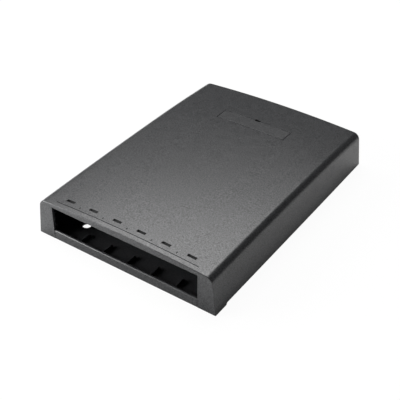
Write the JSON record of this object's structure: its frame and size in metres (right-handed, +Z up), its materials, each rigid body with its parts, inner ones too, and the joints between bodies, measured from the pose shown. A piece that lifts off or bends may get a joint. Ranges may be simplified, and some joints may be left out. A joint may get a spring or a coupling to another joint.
{
  "type": "surface-mount outlet box",
  "caption": "Low moulded plastic box with a crowned cover over a tray, an open front window for snap-in jacks, release slots on top, a label plate and spools for slack cable inside",
  "frame": {"origin": "middle of the footprint, on the surface that the box lies on", "axes": "+X across the ports to the right as seen from the port face, +Y from the port face to the rear, +Z up"},
  "size_m": [0.1416, 0.1972, 0.0314],
  "materials": {
    "cover_plastic": "fine moulded texture",
    "tray_plastic": "fine moulded texture",
    "plate_plastic": "fine moulded texture",
    "spool_plastic": "smooth moulded",
    "screw_steel": "zinc plated",
    "pad_foam": "soft foam"
  },
  "bodies": {
    "tray": {"base": "tray_plastic", "slack_spool_left": "spool_plastic", "slack_spool_right": "spool_plastic", "mounting_pad_front": "pad_foam", "mounting_pad_rear": "pad_foam"},
    "lid": {"cover": "cover_plastic", "label_plate": "plate_plastic", "cover_screw": "screw_steel"}
  },
  "joints": [
    {"name": "cover_lift", "type": "slide", "parent": "tray", "child": "lid", "axis": [0, 0, 1], "range_m": [0, 0.06]}
  ]
}
